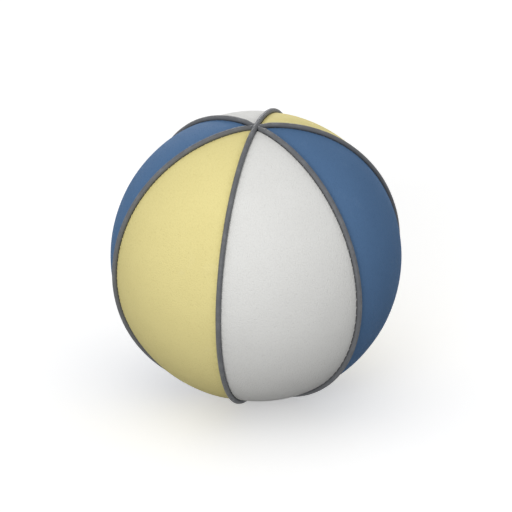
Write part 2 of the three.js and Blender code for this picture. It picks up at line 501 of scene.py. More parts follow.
@dataclass(frozen=True)
class ThreadFinish(Finish):
    """Bonded sewing thread, its plies seen as fine slanted ribs."""

    name: str
    colour: Colour
    shadow: Colour
    plies: Grain = Grain(2600.0, 2.0)
    ply_stretch: Triple = (1.0, 1.0, 2.4)
    ply_tint: float = 0.7
    fuzz: Grain = Grain(9000.0, 2.0)
    fuzz_height: float = 0.4
    fuzz_dulls: float = 0.2
    roughness: float = 0.6
    relief: float = 0.06 * MM
    sheen: float = 0.1

    def surface(self, shader: Shader) -> dict[str, object]:
        """Wires the thread.

        Args:
            shader: the material's empty tree.

        Returns:
            Values or links for the Principled shader's inputs.
        """
        place = shader.object_place()
        ply = shader.noise(shader.stretched(place, self.ply_stretch), self.plies)
        fuzz = shader.noise(place, self.fuzz)
        return {
            "Base Color": shader.blend(self.ply_tint * ply, self.colour, self.shadow),
            "Roughness": self.roughness + self.fuzz_dulls * fuzz,
            "Normal": shader.bump(ply + self.fuzz_height * fuzz, self.relief),
            "Sheen Weight": self.sheen,
        }


@dataclass(frozen=True)
class FoamFinish(Finish):
    """Closed-cell backing foam, with painted shade in the pits of its cells."""

    name: str = "backing_foam"
    colour: Colour = (0.72, 0.66, 0.52)
    pit_shade: Colour = (0.5, 0.44, 0.32)
    cells_in_metre: float = 1500.0
    wall_span: Span = (0.0, 0.4)
    pit_shade_tint: float = 0.6
    patches: Grain = Grain(40.0, 4.0)
    patch_tint: float = 0.4
    roughness: float = 0.88
    cell_dulls: float = 0.1
    relief: float = 0.1 * MM
    gloss: float = 0.2

    def surface(self, shader: Shader) -> dict[str, object]:
        """Wires the foam.

        Args:
            shader: the material's empty tree.

        Returns:
            Values or links for the Principled shader's inputs.
        """
        place = shader.object_place()
        cell = shader.cells(place, self.cells_in_metre, CellReach.CREASE).ramp(*self.wall_span)
        patch = shader.noise(place, self.patches)
        # Painted shade: the cells darken towards their pits, which the bump sinks; the patches are the
        # foam's own uneven tone.
        shade = self.pit_shade_tint * cell + self.patch_tint * (patch - NOISE_MIDDLE)
        return {
            "Base Color": shader.blend(shade, self.colour, self.pit_shade),
            "Roughness": self.roughness + self.cell_dulls * cell,
            "Normal": shader.bump(1 - cell, self.relief),
            "Specular IOR Level": self.gloss,
        }


@dataclass(frozen=True)
class ClothFinish(Finish):
    """Plain-woven lining cloth, with its yarns along and across the gore, and painted shade between the
    yarns and where one passes under another.
    """

    name: str = "woven_lining"
    colour: Colour = (0.58, 0.56, 0.5)
    # Painted shade between and under the yarns.
    gap: Colour = (0.3, 0.28, 0.24)
    yarn: float = 0.8 * MM
    drift: float = 0.1 * MM
    drift_scale: float = 300.0
    under_height: float = 0.6
    slubs: Grain = Grain(220.0, 4.0)
    yarn_tint: float = 0.7
    slub_tint: float = 0.5
    roughness: float = 0.8
    slub_dulls: float = 0.15
    relief: float = 0.12 * MM
    gloss: float = 0.2

    def surface(self, shader: Shader) -> dict[str, object]:
        """Wires the weave.

        Args:
            shader: the material's empty tree.

        Returns:
            Values or links for the Principled shader's inputs.
        """
        turns = math.pi / self.yarn
        place = shader.wandering(shader.surface_place(), self.drift_scale, self.drift)
        along, across = ((turns * shader.axis(place, name)).sine() for name in ("X", "Y"))
        over = (along * across).ramp(-1.0, 1.0)
        height = self.under_height + (1 - self.under_height) * over
        yarns = abs(along).largest(abs(across)) * height
        slub = shader.noise(place, self.slubs)
        # Painted shade: the colour falls to the gap colour between the yarns and where one dips under
        # another, following the bump's height; the slubs vary it as the yarn's own tone.
        shade = yarns * (self.yarn_tint + self.slub_tint * slub)
        return {
            "Base Color": shader.blend(shade, self.gap, self.colour),
            "Roughness": self.roughness + self.slub_dulls * slub,
            "Normal": shader.bump(yarns, self.relief),
            "Specular IOR Level": self.gloss,
        }


@dataclass(frozen=True)
class RubberFinish(Finish):
    """Moulded rubber, bloomed grey here and there."""

    name: str
    colour: Colour
    bloom: Colour
    roughness: float = 0.56
    texture: Grain = Grain(1700.0)
    texture_tint: float = 0.2
    patches: Grain = Grain(130.0, 6.0, 0.6)
    bloom_span: Span = (0.45, 0.75)
    bloom_tint: float = 0.7
    bloom_dulls: float = 0.18
    relief: float = 0.04 * MM
    gloss: float = 0.4

    def surface(self, shader: Shader) -> dict[str, object]:
        """Wires the rubber.

        Args:
            shader: the material's empty tree.

        Returns:
            Values or links for the Principled shader's inputs.
        """
        place = shader.object_place()
        spark = shader.noise(place, self.texture)
        bloomed = shader.noise(place, self.patches).ramp(*self.bloom_span)
        shade = self.bloom_tint * bloomed + self.texture_tint * spark
        return {
            "Base Color": shader.blend(shade, self.colour, self.bloom),
            "Roughness": self.roughness + self.bloom_dulls * bloomed,
            "Normal": shader.bump(spark, self.relief),
            "Specular IOR Level": self.gloss,
        }


VALVE_RUBBER = RubberFinish("valve_moulding", colour=(0.055, 0.056, 0.06), bloom=(0.11, 0.11, 0.115))
BUTYL = RubberFinish(
    "butyl", colour=(0.018, 0.018, 0.02), bloom=(0.05, 0.05, 0.053), roughness=0.62, texture=Grain(900.0)
)


class Skin(Enum):
    """Colours of the covers, by the record's material slot."""

    WHITE = "white_skin"
    BLUE = "blue_skin"
    YELLOW = "yellow_skin"

    @property
    def leather(self) -> LeatherFinish:
        """The cover's finish in this colour."""
        return LEATHERS[self]

    @property
    def thread(self) -> ThreadFinish:
        """Thread dyed to this colour."""
        leather = LEATHERS[self]
        return ThreadFinish(f"{self.value}_thread", leather.colour, leather.crease)


LEATHERS = {
    Skin.WHITE: LeatherFinish(
        "white_leather",
        colour=(0.81, 0.81, 0.79),
        crease=(0.5, 0.49, 0.47),
        scuffed=(0.85, 0.84, 0.82),
    ),
    Skin.BLUE: LeatherFinish(
        "blue_leather",
        colour=(0.104, 0.199, 0.366),
        crease=(0.042, 0.093, 0.19),
        scuffed=(0.17, 0.278, 0.445),
    ),
    Skin.YELLOW: LeatherFinish(
        "yellow_leather",
        colour=(0.862, 0.762, 0.345),
        crease=(0.5, 0.415, 0.135),
        scuffed=(0.88, 0.8, 0.46),
    ),
}


@dataclass(frozen=True)
class Gore:
    """One of the six gores, numbered anticlockwise from the front."""

    name: str
    number: int
    skin: Skin
    holds_valve: bool = False

    @property
    def turn(self) -> Matrix:
        """Turns a gore that is made with its middle on +X to its place."""
        return Matrix.Rotation(self.number * GORE_ANGLE - math.pi / 2, 4, "Z")


GORES = (
    Gore("white_front", 0, Skin.WHITE),
    Gore("blue_right", 1, Skin.BLUE),
    Gore("yellow_back", 2, Skin.YELLOW),
    Gore("white_back", 3, Skin.WHITE, holds_valve=True),
    Gore("blue_left", 4, Skin.BLUE),
    Gore("yellow_front", 5, Skin.YELLOW),
)


class Side(Enum):
    """Way round the ball, seen from above."""

    CLOCKWISE = -1
    ANTICLOCKWISE = 1


@dataclass(frozen=True)
class Seam:
    """A side seam, with the number of the gore after it and the side on which the hoop comes next."""

    name: str
    number: int
    hoop_side: Side

    @property
    def turn(self) -> Matrix:
        """Turns a piping that is made in the XZ plane to its place."""
        return seam_turn(self.number)


def seam_turn(number: int) -> Matrix:
    """Turns a piping that is made in the XZ plane into the seam with a number."""
    return Matrix.Rotation(number * GORE_ANGLE - math.pi / 2 - HALF_GORE, 4, "Z")


SIDE_SEAMS = (
    Seam("front_right", 1, Side.CLOCKWISE),
    Seam("right", 2, Side.ANTICLOCKWISE),
    Seam("back_left", 4, Side.CLOCKWISE),
    Seam("left", 5, Side.ANTICLOCKWISE),
)
CLOSING_SEAM = 0


@dataclass(frozen=True)
class BallSizes:
    """Sizes that the pieces share. A depth is below the ball's surface, an offset from a seam's plane."""

    radius: float = 105 * MM
    cover: float = 1.2 * MM
    foam: float = 2.4 * MM
    lining: float = 0.6 * MM
    gap: float = 0.3 * MM
    edge_roll: float = 2.2 * MM
    hem: float = 2.6 * MM
    bead: float = 1.9 * MM
    flange: float = 0.8 * MM
    crown_land: float = 0.2 * MM
    tip_room: float = 0.1 * MM
    tip_sink: float = 0.7 * MM
    sink_polar: float = math.pi / 16

    @property
    def foam_top(self) -> float:
        """Depth of the foam's outer face."""
        return self.cover + self.gap

    @property
    def foam_floor(self) -> float:
        """Depth of the foam's inner face."""
        return self.foam_top + self.foam

    @property
    def lining_top(self) -> float:
        """Depth of the lining's outer face."""
        return self.foam_floor + self.gap

    @property
    def seam_depth(self) -> float:
        """Depth to which hems, piping flanges and linings reach."""
        return self.lining_top + self.lining

    @property
    def hem_offset(self) -> float:
        """Offset of a hem's outer face."""
        return self.flange / 2 + self.gap

    @property
    def roll_offset(self) -> float:
        """Offset at which a cover starts to turn in."""
        return self.hem_offset + self.edge_roll

    @property
    def pad_offset(self) -> float:
        """Offset of the edges of foam and lining."""
        return self.hem_offset + self.cover + self.gap

    @property
    def bead_centre(self) -> float:
        """Distance of a piping's bead from the ball's centre, a gap from both rolled edges."""
        touching = self.edge_roll + self.gap + self.bead
        return self.radius - self.edge_roll + math.sqrt(touching**2 - self.roll_offset**2)

    @property
    def seam_reach(self) -> float:
        """Room from a seam's plane to the middle of a gore, at the equator."""
        return (self.radius - self.seam_depth) * math.sin(HALF_GORE)

    def reach_at(self, polar: float) -> float:
        """Room from a seam's plane to the middle of a gore, less half the land at its tip."""
        return self.seam_reach * math.sin(polar) - self.crown_land / 2

    def tip_at(self, offset: float) -> float:
        """Polar angle at which a layer with this edge offset comes to its tip."""
        return math.asin((offset + self.tip_room + self.crown_land / 2) / self.seam_reach)

    def radius_at(self, depth: float, polar: float) -> float:
        """Distance from the ball's centre, with the tips drawn in towards the poles.

        Args:
            depth: the depth below the ball's surface.
            polar: the polar angle.

        Returns:
            The distance.
        """
        away = min(1.0, math.sin(polar) / math.sin(self.sink_polar))
        return self.radius - depth - self.tip_sink * (1 - away) ** 2

    def azimuth_of(self, offset: float, depth: float, polar: float) -> float:
        """Azimuth, from a gore's middle, of a place beside its seam.

        Args:
            offset: the place's offset from the seam's plane.
            depth: its depth.
            polar: its polar angle.

        Returns:
            The azimuth.
        """
        across = offset / (self.radius_at(depth, polar) * math.sin(polar))
        return HALF_GORE - math.asin(min(1.0, across))

    def offset_of(self, azimuth: float, depth: float, polar: float) -> float:
        """Offset from the nearer seam's plane of a place on a gore.

        Args:
            azimuth: the place's azimuth from the gore's middle.
            depth: its depth.
            polar: its polar angle.

        Returns:
            The offset.
        """
        return self.radius_at(depth, polar) * math.sin(polar) * math.sin(HALF_GORE - abs(azimuth))

    def point(self, azimuth: float, depth: float, polar: float) -> Vector:
        """Point on a gore whose middle is on +X.

        Args:
            azimuth: the azimuth from the gore's middle.
            depth: the depth.
            polar: the polar angle.

        Returns:
            The point.
        """
        distance = self.radius_at(depth, polar)
        flat = distance * math.sin(polar)
        return Vector((flat * math.cos(azimuth), flat * math.sin(azimuth), distance * math.cos(polar)))


SIZES = BallSizes()


class Bench:
    """Turns bmeshes into pieces of the ball."""

    @staticmethod
    def close(shape: bmesh.types.BMesh) -> None:
        """Merges doubles and turns the faces outwards."""
        bmesh.ops.remove_doubles(shape, verts=shape.verts, dist=MERGE_REACH)
        bmesh.ops.recalc_face_normals(shape, faces=shape.faces)

    @staticmethod
    def piece(
        name: str, shape: bmesh.types.BMesh, finish: Finish | None = None, crease: float = 40.0
    ) -> bpy.types.Object:
        """Makes an object of a bmesh.

        Args:
            name: the piece's name.
            shape: the bmesh, which is freed.
            finish: what the piece is dressed in.
            crease: angle in degrees from which an edge stays sharp.

        Returns:
            The object.
        """
        mesh = bpy.data.meshes.new(name)
        shape.to_mesh(mesh)
        shape.free()
        mesh.shade_smooth()
        mesh.set_sharp_from_angle(angle=math.radians(crease))
        if finish is not None:
            mesh.materials.append(finish.material())
        made = bpy.data.objects.new(name, mesh)
        bpy.context.collection.objects.link(made)
        return made

    @staticmethod
    def cut(piece: bpy.types.Object, tool: bpy.types.Object) -> None:
        """Cuts one object with another, which is used up.

        Args:
            piece: the object to cut.
            tool: the object to cut it with.
        """
        modifier = piece.modifiers.new("cut", "BOOLEAN")
        modifier.operation = "DIFFERENCE"
        modifier.solver = "EXACT"
        modifier.object = tool
        graph = bpy.context.evaluated_depsgraph_get()
        finished = bpy.data.meshes.new_from_object(piece.evaluated_get(graph), depsgraph=graph)
        piece.modifiers.clear()
        whole, piece.data = piece.data, finished
        bpy.data.meshes.remove(whole)
        bpy.data.meshes.remove(tool.data)
        finished.name = piece.name
        Bench.clear_slivers(finished)

    @staticmethod
    def clear_slivers(mesh: bpy.types.Mesh) -> None:
        """Dissolves the faces without area that a cut leaves.

        Args:
            mesh: the mesh that was cut.
        """
        shape = bmesh.new()
        shape.from_mesh(mesh)
        bmesh.ops.dissolve_degenerate(shape, dist=MERGE_REACH, edges=shape.edges)
        shape.to_mesh(mesh)
        shape.free()

    @staticmethod
    def turned(profile: Profile, steps: int) -> bmesh.types.BMesh:
        """Spins a profile about +Y.

        Args:
            profile: radius and height of each corner, from one end on the axis to the other.
            steps: steps round the axis.

        Returns:
            The closed shape.
        """
        shape = bmesh.new()
        corners = [shape.verts.new((radius, height, 0.0)) for radius, height in profile]
        for pair in zip(corners, corners[1:]):
            shape.edges.new(pair)
        Bench.spin(shape, steps)
        Bench.close(shape)
        return shape

    @staticmethod
    def spin(
        shape: bmesh.types.BMesh, steps: int, angle: float = FULL_TURN, axis: Triple = Y_AXIS
    ) -> None:
        """Spins the points and edges of a wire shape about the ball's centre.

        Args:
            shape: the bmesh.
            steps: steps round the axis.
            angle: how far round it goes.
            axis: the axis.
        """
        wire = shape.verts[:] + shape.edges[:]
        whole = angle >= FULL_TURN
        bmesh.ops.spin(
            shape, geom=wire, cent=ORIGIN, axis=axis, angle=angle, steps=steps, use_merge=whole
        )

    @staticmethod
    def ease_edges(shape: bmesh.types.BMesh, width: float, from_angle: float = 30.0) -> None:
        """Rounds the sharp edges.

        Args:
            shape: the bmesh.
            width: how far the rounding reaches from an edge.
            from_angle: angle in degrees from which an edge is sharp.
        """
        rounds = 3
        limit = math.radians(from_angle)
        sharp = [edge for edge in shape.edges if edge.is_manifold and edge.calc_face_angle() > limit]
        bmesh.ops.bevel(
            shape,
            geom=sharp,
            offset=width,
            affect="EDGES",
            segments=rounds,
            profile=0.5,
            clamp_overlap=True,
            material=-1,
        )

    @staticmethod
    def mount(piece: bpy.types.Object, body: str, slot: str, *nodes: str) -> None:
        """Sets a piece on its body.

        Args:
            piece: the piece.
            body: the body that it rides on.
            slot: the record's material slot; not used.
            nodes: the CAD nodes that it stands for.
        """
        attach(piece, body)
        if nodes:
            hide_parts(*nodes)
        LOG.info("%s: %d faces on %s", piece.name, len(piece.data.polygons), body)


@dataclass(frozen=True)
class Stitching:
    """Whip stitches that run the length of each seam and hold a gore's edge to the piping."""

    count: int = 48
    end_polar: float = math.radians(6.0)
    thread: float = 0.38 * MM
    start_offset: float = 1.5 * MM
    end_offset: float = 2.75 * MM
    start_lift: float = 0.4
    end_lift: float = -0.3
    slant: float = 0.8 * MM
    sway: Span = (0.7, 1.3)
    sway_seed: int = 200
    pull: Span = (0.7, 1.15)
    pull_seed: int = 100
    pucker_depth: float = 0.24 * MM
    pucker_offset: float = 2.9 * MM
    pucker_width: float = 2.0 * MM
    sides: int = 6
    rings: int = 6
    smooth_to: float = 180.0

    @property
    def step(self) -> float:
        """Polar angle from one stitch to the next."""
        return (math.pi - 2 * self.end_polar) / self.count

    def polar(self, number: int) -> float:
        """Polar angle of a stitch."""
        return self.end_polar + (number + 0.5) * self.step

    def pucker(self, offset: float, polar: float, pulls: list[float]) -> float:
        """Depth to which the stitches draw the leather in.

        Args:
            offset: the offset from the seam's plane.
            polar: the polar angle.
            pulls: how hard each stitch of the seam is drawn.

        Returns:
            The depth.
        """
        along = (polar - self.end_polar) / self.step
        number = min(self.count - 1, max(0, math.floor(along)))
        near = max(0.0, math.cos(math.pi * (along - number - 0.5)))
        across = (offset - self.pucker_offset) / self.pucker_width
        return self.pucker_depth * pulls[number] * near**2 * math.exp(-(across**2))


@dataclass
class GoreLayer:
    """A layer of a gore: an outer and an inner sheet from tip to tip, joined round their edges."""

    gore: Gore
    rows: int = 110
    roll_steps: int = 4
    crown_steps: int = 10
    crown_grading: float = 1.25
    hem_steps: int = 0

    @property
    def columns(self) -> int:
        """Steps across the gore."""
        return 2 * (self.hem_steps + self.roll_steps + self.crown_steps)

    @property
    def tip(self) -> float:
        """Polar angle of the layer's upper tip."""
        return SIZES.tip_at(SIZES.pad_offset)

    def place(self, outside: bool, column: int, polar: float) -> tuple[float, float]:
        """Where a column of one of the sheets runs.

        Args:
            outside: whether it is the outer sheet.
            column: the column.
            polar: the polar angle.

        Returns:
            The azimuth from the gore's middle and the depth.
        """
        raise NotImplementedError

    def rolled(self, inset: float, share: float, polar: float) -> tuple[float, float]:
        """Place on the turned-in edge of a face that lies an inset below the cover's own.

        Args:
            inset: the inset.
            share: 0 at the seam, 1 at the crown.
            polar: the polar angle.

        Returns:
            The offset from the seam's plane and the depth.
        """
        bend = SIZES.edge_roll - inset
        left = (SIZES.roll_offset - SIZES.reach_at(polar)) / bend
        angle = share * math.acos(min(1.0, max(0.0, left)))
        return SIZES.roll_offset - bend * math.cos(angle), SIZES.edge_roll - bend * math.sin(angle)

    def crown(self, step: int, polar: float) -> float:
        """Azimuth on the crown, the same for all layers.

        Args:
            step: the step from the crown's edge.
            polar: the polar angle.

        Returns:
            The azimuth from the gore's middle.
        """
        half = SIZES.azimuth_of(*self.rolled(0.0, 1.0, polar), polar)
        return half * (1 - (step / self.crown_steps) ** self.crown_grading)

    def sheet(self, shape: bmesh.types.BMesh, outside: bool) -> None:
        """Bends a grid over the gore.

        Args:
            shape: the bmesh that the grid is added to.
            outside: whether it is the outer sheet.
        """
        unit = 1.0
        grid = bmesh.ops.create_grid(shape, x_segments=self.columns, y_segments=self.rows, size=unit)
        for point in grid["verts"]:
            column = round((point.co.x + unit) / (2 * unit) * self.columns)
            share = (point.co.y + unit) / (2 * unit)
            polar = self.tip + (math.pi - 2 * self.tip) * share
            side = 1 if column > self.columns / 2 else -1
            azimuth, depth = self.place(outside, min(column, self.columns - column), polar)
            self.settle(point, side * azimuth, depth, polar)

    def settle(self, point: bmesh.types.BMVert, azimuth: float, depth: float, polar: float) -> None:
        """Moves a point of a sheet to its place.

        Args:
            point: the point.
            azimuth: the azimuth from the gore's middle.
            depth: the depth.
            polar: the polar angle.
        """
        point.co = SIZES.point(azimuth, depth, polar)

    def build(self) -> bmesh.types.BMesh:
        """Makes the layer at its place.

        Returns:
            The closed shape.
        """
        shape = bmesh.new()
        self.prepare(shape)
        for outside in (True, False):
            self.sheet(shape, outside)
        rims = [edge for edge in shape.edges if edge.is_boundary]
        bmesh.ops.bridge_loops(shape, edges=rims)
        bmesh.ops.recalc_face_normals(shape, faces=shape.faces)
        if self.gore.holds_valve:
            self.refine(shape)
        bmesh.ops.transform(shape, matrix=self.gore.turn, verts=shape.verts)
        return shape

    def refine(self, shape: bmesh.types.BMesh) -> None:
        """Splits faces of a layer that holds the valve, where it needs them."""

    def prepare(self, shape: bmesh.types.BMesh) -> None:
        """Adds what the points of the layer hold besides their place."""


@dataclass
class Cover(GoreLayer):
    """Leather panel: crowned, turned in at its seams, hemmed, and drawn in at each stitch."""

    rows: int = 300
    roll_steps: int = 9
    crown_steps: int = 22
    hem_steps: int = 2
    puff: float = 0.45 * MM
    puff_reach: float = 10.0 * MM
    tip_reach: float = 5.0
    unevenness: float = 0.13 * MM
    unevenness_scale: float = 42.0
    # How far from the bead the painted shade beside the seams fades out.
    seam_shade_reach: float = 5.5 * MM
    dish: float = 0.3 * MM
    dish_flat: float = 7.0 * MM
    dish_reach: float = 16.0 * MM
    dish_cuts: int = 4
    smooth_to: float = 60.0
    flat_size: tuple[float, float] = (114 * MM, 321 * MM)
    flat_area: float = 0.0243
    stitching: Stitching = Stitching()
    pulls: dict[Side, list[float]] = field(init=False)
    nearness: bmesh.types.BMLayerItem = field(init=False)

    def __post_init__(self) -> None:
        """Draws how hard each stitch of both seams is pulled."""
        sewing = self.stitching
        draws = random.Random(sewing.pull_seed + self.gore.number)
        self.pulls = {side: [draws.uniform(*sewing.pull) for _ in range(sewing.count)] for side in Side}

    @property
    def crown_height(self) -> float:
        """How far the panel stands over the ball's surface at the valve."""
        return self.puff - self.dish

    @property
    def tip(self) -> float:
        """Polar angle of the cover's upper tip."""
        return SIZES.tip_at(SIZES.hem_offset + SIZES.cover)

    def place(self, outside: bool, column: int, polar: float) -> tuple[float, float]:
        """Where a column of one of the sheets runs.

        Args:
            outside: whether it is the outer sheet.
            column: the column, counted from the seam.
            polar: the polar angle.

        Returns:
            The azimuth from the gore's middle and the depth.
        """
        inset = 0.0 if outside else SIZES.cover
        on_roll = column - self.hem_steps
        if on_roll > self.roll_steps:
            return self.crown(on_roll - self.roll_steps, polar), self.rolled(inset, 1.0, polar)[1]
        if on_roll >= 0:
            offset, depth = self.rolled(inset, on_roll / self.roll_steps, polar)
        else:
            offset = SIZES.hem_offset + inset
            depth = SIZES.edge_roll - on_roll / self.hem_steps * SIZES.hem
        return SIZES.azimuth_of(offset, depth, polar), depth

    def relief(self, azimuth: float, depth: float, polar: float) -> float:
        """Depth that softness adds to the plain form.

        Args:
            azimuth: the azimuth from the gore's middle.
            depth: the plain depth.
            polar: the polar angle.

        Returns:
            The added depth, below zero where the panel swells.
        """
        offset = SIZES.offset_of(azimuth, depth, polar)
        swell = self.puff * (1 - math.exp(-((offset / self.puff_reach) ** 2)))
        tip = math.sin(self.tip)
        off_tip = smooth_step(math.sin(polar), tip, self.tip_reach * tip)
        there = self.gore.turn @ SIZES.point(azimuth, depth, polar)
        rough = self.unevenness * noise.noise(there * self.unevenness_scale)
        on_crown = smooth_step(offset, SIZES.hem_offset, SIZES.roll_offset)
        side = Side.ANTICLOCKWISE if azimuth > 0 else Side.CLOCKWISE
        drawn = self.stitching.pucker(offset, polar, self.pulls[side])
        dished = self.by_valve(azimuth, polar)
        return off_tip * (drawn - swell + (1 - dished) * on_crown * rough) + dished * self.dish

    def by_valve(self, azimuth: float, polar: float) -> float:
        """Share of the dish round the valve that a place has.

        Args:
            azimuth: the azimuth from the gore's middle.
            polar: the polar angle.

        Returns:
            1 at the valve, and 0 away from it or on a gore that has none.
        """
        if not self.gore.holds_valve:
            return 0.0
        away = SIZES.radius * math.hypot(azimuth * math.sin(polar), polar - math.pi / 2)
        return 1 - smooth_step(away, self.dish_flat, self.dish_reach)

    def refine(self, shape: bmesh.types.BMesh) -> None:
        """Splits the outer faces at the valve finely, so that its hole gets a clean lip.

        Args:
            shape: the panel, before it is turned to its place.
        """
        near = [
            edge
            for edge in shape.edges
            if all(math.hypot(point.co.y, point.co.z) < self.dish_flat for point in edge.verts)
            and min(point.co.x for point in edge.verts) > SIZES.radius - SIZES.cover / 2
        ]
        split = bmesh.ops.subdivide_edges(shape, edges=near, cuts=self.dish_cuts, use_grid_fill=True)
        for point in split["geom_inner"]:
            if isinstance(point, bmesh.types.BMVert):
                point.co = point.co.normalized() * (SIZES.radius + self.crown_height)

    def prepare(self, shape: bmesh.types.BMesh) -> None:
        """Adds the number that says how near a point is to a seam."""
        self.nearness = shape.verts.layers.float.new(SEAM_ATTRIBUTE)

    def settle(self, point: bmesh.types.BMVert, azimuth: float, depth: float, polar: float) -> None:
        """Moves a point of a sheet to its place, with the panel's softness.

        Args:
            point: the point.
            azimuth: the azimuth from the gore's middle.
            depth: the plain depth.
            polar: the polar angle.
        """
        point.co = SIZES.point(azimuth, depth + self.relief(azimuth, depth, polar), polar)
        offset = SIZES.offset_of(azimuth, depth, polar)
        # Mask for the painted shade beside the seams, 1 at the bead and 0 beyond its reach.
        point[self.nearness] = 1 - smooth_step(offset, SIZES.bead, SIZES.bead + self.seam_shade_reach)

    def outer_point(self, side: Side, offset: float, polar: float, lift: float) -> Vector:
        """Point over the cover's outer face beside a seam.

        Args:
            side: the seam's side of the gore.
            offset: the offset from the seam's plane.
            polar: the polar angle.
            lift: the height over the face.

        Returns:
            The point on a gore whose middle is on +X.
        """
        inward = max(0.0, SIZES.roll_offset - offset)
        depth = SIZES.edge_roll - math.sqrt(SIZES.edge_roll**2 - inward**2)
        azimuth = side.value * SIZES.azimuth_of(offset, depth, polar)
        return SIZES.point(azimuth, depth + self.relief(azimuth, depth, polar) - lift, polar)

    def stitch(self, shape: bmesh.types.BMesh, side: Side, number: int, sway: float) -> None:
        """Adds one stitch beside a seam: a ball drawn out to a rod with round ends.

        Args:
            shape: the bmesh that the stitch is added to.
            side: the seam's side of the gore.
            number: the stitch's number along the seam.
            sway: how far its inner end is from straight across, as a share of its slant.
        """
        sewing = self.stitching
        middle = sewing.polar(number)
        lean = sway * sewing.slant / (2 * SIZES.radius)
        start_lift = sewing.start_lift * sewing.thread
        start = self.outer_point(side, sewing.start_offset, middle - lean, start_lift)
        end_lift = sewing.end_lift * sewing.thread
        end = self.outer_point(side, sewing.end_offset, middle + lean, end_lift)
        run = end - start
        rod = bmesh.ops.create_uvsphere(
            shape, u_segments=sewing.sides, v_segments=sewing.rings, radius=sewing.thread
        )["verts"]
        for point in rod:
            if abs(point.co.z) > sewing.thread / 4:
                point.co.z += math.copysign(run.length / 2, point.co.z)
        aim = run.to_track_quat("Z", "Y").to_matrix().to_4x4()
        bmesh.ops.transform(shape, matrix=Matrix.Translation((start + end) / 2) @ aim, verts=rod)

    def sew(self) -> bmesh.types.BMesh:
        """Makes the stitches along both seams of the gore.

        Returns:
            The stitches.
        """
        sewing = self.stitching
        draws = random.Random(sewing.sway_seed + self.gore.number)
        shape = bmesh.new()
        for side in Side:
            for number in range(sewing.count):
                self.stitch(shape, side, number, draws.uniform(*sewing.sway))
        bmesh.ops.recalc_face_normals(shape, faces=shape.faces)
        bmesh.ops.transform(shape, matrix=self.gore.turn, verts=shape.verts)
        return shape

    def dress(self) -> bpy.types.Object:
        """Makes the panel and its stitches.

        Returns:
            The panel.
        """
        skin = self.gore.skin
        panel = Bench.piece(f"panel_{self.gore.name}", self.build(), skin.leather, self.smooth_to)
        Bench.mount(panel, BALL_BODY, skin.value, f"cover_{self.gore.name}")
        smooth_to = self.stitching.smooth_to
        thread = Bench.piece(f"stitches_{self.gore.name}", self.sew(), skin.thread, smooth_to)
        Bench.mount(thread, BALL_BODY, skin.value)
        return panel


@dataclass
class Foam(GoreLayer):
    """Foam pad under a cover, rounded to fit inside its turned edges."""

    def place(self, outside: bool, column: int, polar: float) -> tuple[float, float]:
        """Where a column of one of the sheets runs.

        Args:
            outside: whether it is the outer sheet.
            column: the column, counted from the seam.
            polar: the polar angle.

        Returns:
            The azimuth from the gore's middle and the depth.
        """
        share = min(1.0, column / self.roll_steps)
        offset, depth = self.rolled(SIZES.foam_top, share, polar)
        depth = depth if outside else SIZES.foam_floor
        if column > self.roll_steps:
            return self.crown(column - self.roll_steps, polar), depth
        return SIZES.azimuth_of(offset, depth, polar), depth

    def dress(self) -> bpy.types.Object:
        """Makes the pad.

        Returns:
            The pad.
        """
        pad = Bench.piece(f"pad_{self.gore.name}", self.build(), FoamFinish())
        Bench.mount(pad, BALL_BODY, "foam", f"foam_{self.gore.name}")
        return pad


@dataclass
class Lining(GoreLayer):
    """Woven cloth under a foam pad, drawn tight over the bladder."""

    roll_steps: int = 1
    flat_size: tuple[float, float] = (101 * MM, 306 * MM)
    flat_area: float = 0.0198

    def place(self, outside: bool, column: int, polar: float) -> tuple[float, float]:
        """Where a column of one of the sheets runs.

        Args:
            outside: whether it is the outer sheet.
            column: the column, counted from the seam.
            polar: the polar angle.

        Returns:
            The azimuth from the gore's middle and the depth.
        """
        depth = SIZES.lining_top if outside else SIZES.seam_depth
        if column == 0:
            return SIZES.azimuth_of(SIZES.pad_offset, depth, polar), depth
        return self.crown(column - self.roll_steps, polar), depth

    def prepare(self, shape: bmesh.types.BMesh) -> None:
        """Adds the UV map that the weave follows."""
        shape.loops.layers.uv.new("weave")

    def map_weave(self, shape: bmesh.types.BMesh) -> None:
        """Lays the weave along the gore, in metres.

        Args:
            shape: the lining at its place.
        """
        weave = shape.loops.layers.uv.verify()
        back = self.gore.turn.inverted()
        for face in shape.faces:
            for loop in face.loops:
                there = back @ loop.vert.co
                flat = math.hypot(there.x, there.y)
                across = flat * math.atan2(there.y, there.x)
                loop[weave].uv = (across, SIZES.radius * math.atan2(flat, there.z))

    def dress(self) -> bpy.types.Object:
        """Makes the cloth.

        Returns:
            The cloth.
        """
        shape = self.build()
        self.map_weave(shape)
        cloth = Bench.piece(f"cloth_{self.gore.name}", shape, ClothFinish())
        Bench.mount(cloth, BALL_BODY, "lining", f"lining_{self.gore.name}")
        return cloth


